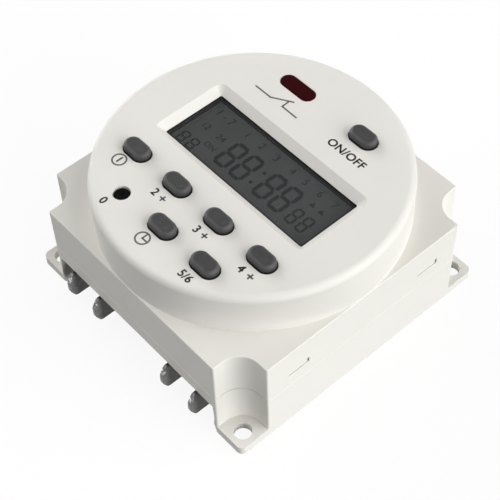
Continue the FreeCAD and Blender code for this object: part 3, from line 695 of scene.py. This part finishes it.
def makeFilmFinish():
    finish = Finish("displayFilm")
    veil = finish.ramp(finish.noise(160, 4, roughness=0.7), (0.3, 0), (0.7, 1))
    return finish.set(
        color=finish.mix(veil, rgb(0.036, 0.036, 0.0365), rgb(0.043, 0.043, 0.0435)),
        rough=finish.noise(500, 2) * 0.1 + 0.5,
        specular=0.05)


displayFinish = makeFilmFinish()
film = viewBlock("displayFilm", view["ledge"] + view["film"], view["glassTop"], view["filmTop"])
bevelPicked(film, atHeight(view["filmTop"]), view["edge"], 2)
finishPiece(smooth(film), displayFinish, "housing", "display_glass")
filmEdge = viewBlock("filmEdge", view["ledge"] + view["filmEdge"], view["glassTop"],
                     view["filmTop"] - view["play"])
carve(filmEdge, viewBlock("cutter", view["ledge"] + view["filmLap"], view["glassTop"] - over,
                          view["filmTop"] + over))
finishPiece(smooth(filmEdge), edgeGrey, "housing", "display_glass")


def paint(node, material):  # a CAD node keeps its shape and gets a new finish
    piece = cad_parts[node]
    if not piece.material_slots:
        piece.data.materials.append(material)
    for place in range(len(piece.material_slots)):
        piece.material_slots[place].material = material


paint("lcd_front_glass", displayFinish)
print("window and display dressed")


# words, rings and strokes: shared by the display and the face

def addText(words, x, y, size, low, high, spacing=1.0):
    deselectAll()
    bpy.ops.object.text_add(location=(x * mm, y * mm, (low + high) / 2 * mm))
    letters = bpy.context.object.data
    letters.body = words
    letters.size = size * mm
    letters.align_x = "CENTER"
    letters.align_y = "CENTER"
    letters.space_character = spacing
    letters.extrude = (high - low) / 2 * mm
    letters.resolution_u = 4
    bpy.ops.object.convert(target="MESH")
    piece = bpy.context.object
    piece.name = "mark"
    merge(piece, 0.0005)
    leave()
    return settle(piece)


def addRing(x, y, outer, stroke, low, high):
    ring = addRod("ring", x, y, low, high, outer, 48)
    return carve(ring, addRod("inside", x, y, low - over, high + over, outer - stroke, 48))


def addStroke(x0, y0, x1, y1, stroke, low, high):
    long = math.hypot(x1 - x0, y1 - y0) + stroke
    piece = addBlock("stroke", (-long / 2, -stroke / 2, low), (long / 2, stroke / 2, high))
    piece.rotation_euler = (0, 0, math.atan2(y1 - y0, x1 - x0))
    piece.location = ((x0 + x1) / 2 * mm, (y0 + y1) / 2 * mm, 0)
    return settle(piece)


# display segments: a faint trace of every digit and mark

display = {
    "low": 28.4, "high": 28.42, "lean": 0.05,
    # shares of the stroke: the points, what lying and standing bars lack in length, and how far
    # the standing ones keep from the middle
    "pointed": 0.42, "lyingGap": 1.15, "standingGap": 0.95, "apart": 0.2,
    "digits": (  # width, height, stroke, and the lower left corner of each
        (3.45, 6.9, 0.78, ((-7.9, -3.3), (-3.75, -3.25), (2.5, -3.15), (6.65, -3.1))),
        (2.0, 4.0, 0.44, ((11.4, -3.05), (14.1, -3.05))),
        (1.85, 3.0, 0.38, ((-16.7, -4.75), (-14.1, -4.75))),
    ),
    "dot": 0.36, "dots": ((1.4, 1.75), (1.25, -1.5)),
    "pointer": 0.78, "pointers": ((12.85, 3.0), (15.15, 3.0)),
    "days": (-7.7, -3.75, 0.3, 4.6, 8.1, 11.95, 15.6), "dayHeight": 5.75, "daySize": 2.3,
    "words": (("1 - 7", -13.9, 5.6, 2.5), ("12", -14.8, 1.5, 2.1), ("24", -10.5, 1.5, 2.1),
              ("ON", -10.4, -1.35, 1.8)),
}


def segmentBar(x, y, long, thick, lies):  # one bar with pointed ends
    reachX, reachY = (long / 2, thick / 2) if lies else (thick / 2, long / 2)
    bar = addBlock("bar", (x - reachX, y - reachY, display["low"]),
                   (x + reachX, y + reachY, display["high"]))
    bevelPicked(bar, upright, thick * display["pointed"], 1)
    return bar


def sevenSegment(wide, tall, thick):  # its lower left corner is at the origin
    half = tall / 2
    lean = display["lean"]
    lying = wide - thick * display["lyingGap"]
    standing = half - thick * display["standingGap"]
    apart = thick * display["apart"]
    bars = [segmentBar(wide / 2 + lean * height, height, lying, thick, True)
            for height in (thick / 2, half, tall - thick / 2)]
    bars += [segmentBar(side + lean * height, height, standing, thick, False)
             for side in (thick / 2, wide - thick / 2)
             for height in (half / 2 + apart, half * 1.5 - apart)]
    return join("digit", bars)


def displayText(words, x, y, size):
    return addText(words, x, y, size, display["low"], display["high"])


def displayRod(radius, sides):
    return addRod("dot", 0, 0, display["low"], display["high"], radius, sides)


marks = []
for wide, tall, thick, places in display["digits"]:
    marks += spread(sevenSegment(wide, tall, thick), "digit", places)
marks += spread(displayRod(display["dot"], 16), "dot", display["dots"])
marks += spread(displayRod(display["pointer"], 3), "pointer", display["pointers"])
for number, x in enumerate(display["days"]):
    marks.append(displayText(str(number + 1), x, display["dayHeight"], display["daySize"]))
for words in display["words"]:
    marks.append(displayText(*words))
segments = join("displaySegments", marks)
finishPiece(segments, segmentInk, "housing", "display_glass")
print("display segments made")


# printed marks on the face: numbers, a clock and the sign of a switch contact

printed = {
    "low": 30.795, "high": 30.81, "stroke": 0.34, "heavy": 0.06,
    "ring": 1.5, "rings": ((-17.42, -16.82), (-0.3, -25.1)),
    "plus": 0.52, "pluses": ((-4.85, -16.88), (6.6, -16.85), (18.6, -16.83)),
    "words": (  # place, size and spacing
        ("1", -17.4, -16.85, 2.2, 1.0), ("2", -7.0, -16.9, 2.35, 1.0),
        ("3", 4.55, -16.9, 2.35, 1.0), ("4", 16.3, -16.9, 2.35, 1.0),
        ("5/6", 11.05, -24.9, 2.3, 1.0), ("0", -11.75, -24.9, 2.35, 1.0),
        ("ON/OFF", 9.55, 14.4, 2.45, 1.04),
    ),
    "hands": ((-0.33, -25.12, -0.33, -24.05), (-0.33, -25.12, 0.7, -25.12)),
    "contact": ((-14.45, 13.85, -10.4, 13.85), (-10.4, 13.85, -6.45, 16.15),
                (-7.2, 15.6, -7.1, 13.85), (-7.1, 13.85, -3.25, 13.8)),
}


def printMark(words, x, y, size, spacing):  # bold: the word four times, slightly shifted
    heavy = printed["heavy"]
    pattern = addText(words, x, y, size, printed["low"], printed["high"], spacing)
    shifts = ((-heavy, 0), (heavy, 0), (0, -heavy), (0, heavy))
    return join("mark", spread(pattern, "mark", shifts))


def printStroke(*ends):
    return addStroke(*ends, printed["stroke"], printed["low"], printed["high"])


def printPlus(x, y):
    reach = printed["plus"]
    return join("plus", [printStroke(x - reach, y, x + reach, y),
                         printStroke(x, y - reach, x, y + reach)])


faceMarks = [printMark(*words) for words in printed["words"]]
faceMarks += [printPlus(x, y) for x, y in printed["pluses"]]
faceMarks += [addRing(x, y, printed["ring"], printed["stroke"], printed["low"], printed["high"])
              for x, y in printed["rings"]]
faceMarks += [printStroke(*ends) for ends in printed["hands"] + printed["contact"]]
marksPiece = join("faceMarks", faceMarks)
finishPiece(marksPiece, legendInk, "housing", "key")
print("face marks printed")


# pieces inside: they keep their CAD shape and get a finish of their own

plasticInside = {  # dark, light, roughness, grain and its depth
    "solderMask": (rgb(0.01, 0.1, 0.035), rgb(0.015, 0.13, 0.05), 0.35, 2500, 0.006),
    "elastomer": (rgb(0.3, 0.18, 0.19), rgb(0.36, 0.22, 0.23), 0.6, 3000, 0.01),
    "relayCase": (rgb(0.02, 0.08, 0.3), rgb(0.03, 0.1, 0.36), 0.3, 3500, 0.004),
    "capacitorBox": (rgb(0.5, 0.34, 0.05), rgb(0.56, 0.4, 0.07), 0.35, 3000, 0.005),
    "capacitorSleeve": (rgb(0.02, 0.025, 0.06), rgb(0.03, 0.035, 0.08), 0.3, 2500, 0.003),
    "bobbin": (rgb(0.62, 0.58, 0.48), rgb(0.68, 0.64, 0.54), 0.5, 3500, 0.006),
    "resistorCoat": (rgb(0.12, 0.17, 0.2), rgb(0.16, 0.21, 0.25), 0.45, 3500, 0.01),
    "diodeLens": (rgb(0.4, 0.02, 0.02), rgb(0.5, 0.03, 0.03), 0.15, 2500, 0.001),
    "plungerPlastic": (rgb(0.28, 0.24, 0.17), rgb(0.33, 0.29, 0.2), 0.5, 3500, 0.006),
}
metalInside = {  # dark, light, roughness and the stretch of the brush marks
    "plainSteel": (grey(0.5), grey(0.62), 0.35, (400, 9000, 9000)),
    "brassSheet": (rgb(0.62, 0.45, 0.2), rgb(0.75, 0.56, 0.28), 0.35, (500, 8000, 8000)),
    "copperWire": (rgb(0.5, 0.2, 0.1), rgb(0.68, 0.3, 0.16), 0.35, (300, 300, 14000)),
}
nodesInside = {
    "solderMask": ("display_board", "power_board"),
    "blackPlastic": ("lcd_rear_glass", "chip_blob", "switch_housings", "relay_base",
                     "rectifier_diodes", "driver_transistor", "link_header"),
    "elastomer": ("contact_strips",),
    "relayCase": ("relay_case",),
    "capacitorBox": ("suppression_capacitor",),
    "capacitorSleeve": ("smoothing_capacitor",),
    "bobbin": ("relay_bobbin",),
    "resistorCoat": ("dropper_resistor",),
    "diodeLens": ("indicator_diode",),
    "plungerPlastic": tuple(f"{keyName}_plunger" for keyName in keyNames),
    "plainSteel": ("quartz_crystal", "board_screws", "power_screws", "relay_yoke", "relay_core",
                   "relay_armature", "backup_cell", "cell_tabs"),
    "brassSheet": ("relay_fixed_contact", "relay_contact_spring", "link_pins"),
    "copperWire": ("relay_winding",),
}
finishInside = {"blackPlastic": blackPlastic}
for name, looks in plasticInside.items():
    finishInside[name] = mouldedPlastic(name, *looks)
for name, looks in metalInside.items():
    finishInside[name] = brushedMetal(name, *looks)
for name, nodes in nodesInside.items():
    for node in nodes:
        paint(node, finishInside[name])
print("inner pieces painted")


# floor, light and camera

stage = {"size": 3.0, "drop": 0.02, "floorSeen": 0.95, "floor": 0.12, "shownWhite": 0.9,
         "softness": 55}  # the suns' width in degrees
suns = {  # where each wide soft light comes from, and how strong it is
    "lowRight": ((0.98, 0.0, 0.21), 2.5),
    "lowFar": ((0.69, 0.69, 0.21), 0.7),
    "lowLeft": ((-0.98, 0.0, 0.21), 2.35),
    "highFar": ((0.5, 0.5, 0.71), 1.5),
    "lowNear": ((0.0, -0.98, 0.21), 0.18),
    "highNear": ((-0.5, -0.5, 0.71), 1.0),
}


def makeFloor():
    deselectAll()
    bpy.ops.mesh.primitive_plane_add(size=stage["size"], location=(0, 0, -stage["drop"] * mm))
    floor = settle(bpy.context.object)
    floor.name = "floor"
    finish = Finish("paleFloor")
    seen = finish.node("ShaderNodeLightPath", output="Is Camera Ray")
    finish.set(
        color=finish.mix(seen, grey(stage["floor"]), grey(stage["floorSeen"])),
        rough=finish.noise(40, 2) * 0.1 + 0.85,
        specular=0.0)
    lit = Wire(finish, finish.shader.outputs[0])
    glow = finish.node("ShaderNodeEmission", {}, {"Color": grey(1), "Strength": 1.0})
    share = finish.backgroundShare() * stage["shownWhite"]
    both = finish.node("ShaderNodeMixShader", {}, {0: share, 1: lit, 2: glow})
    finish.plug(finish.tree.nodes["Material Output"].inputs["Surface"], both)
    floor.data.materials.append(finish.material)
    floor.visible_shadow = False  # the wide low light reaches below the horizon


def makeRoom():  # white where it is seen, and no light from it on dull surfaces
    world = bpy.data.worlds.new("softRoom")
    bpy.context.scene.world = world
    world.use_nodes = True
    room = Sheet(world.node_tree)
    background = room.tree.nodes["Background"]
    room.plug(background.inputs["Color"], grey(1))
    room.plug(background.inputs["Strength"], room.backgroundShare())


def makeSuns():
    for name, (source, strength) in suns.items():
        deselectAll()
        bpy.ops.object.light_add(type="SUN")
        sun = bpy.context.object
        sun.name = name
        sun.data.energy = strength
        sun.data.angle = math.radians(stage["softness"])
        sun.rotation_euler = Vector(source).to_track_quat("Z", "Y").to_euler()


photo = {"azimuth": 50.455, "elevation": 52.248, "roll": -2.392,
         "eye": (123.634, -103.358, 213.942), "focal": 97.03, "sensor": 36, "nearest": 0.01}


def makeCamera():
    azimuth, elevation, roll = (math.radians(photo[angle]) for angle in
                                ("azimuth", "elevation", "roll"))
    back = Vector((math.sin(azimuth) * math.cos(elevation),
                   -math.cos(azimuth) * math.cos(elevation), math.sin(elevation)))
    right = (-back).cross(Vector((0, 0, 1))).normalized()
    up = right.cross(-back)
    across = right * math.cos(roll) + up * math.sin(roll)
    upward = up * math.cos(roll) - right * math.sin(roll)
    lensData = bpy.data.cameras.new("photoCamera")
    lensData.lens = photo["focal"]
    lensData.sensor_width = photo["sensor"]
    lensData.clip_start = photo["nearest"]
    camera = bpy.data.objects.new("photoCamera", lensData)
    bpy.context.scene.collection.objects.link(camera)
    place = Matrix((across, upward, back)).transposed().to_4x4()
    place.translation = Vector(photo["eye"]) * mm
    camera.matrix_world = place
    bpy.context.scene.camera = camera


makeFloor()
makeRoom()
makeSuns()
makeCamera()
bpy.context.scene.view_settings.view_transform = "Standard"
print("stage ready")
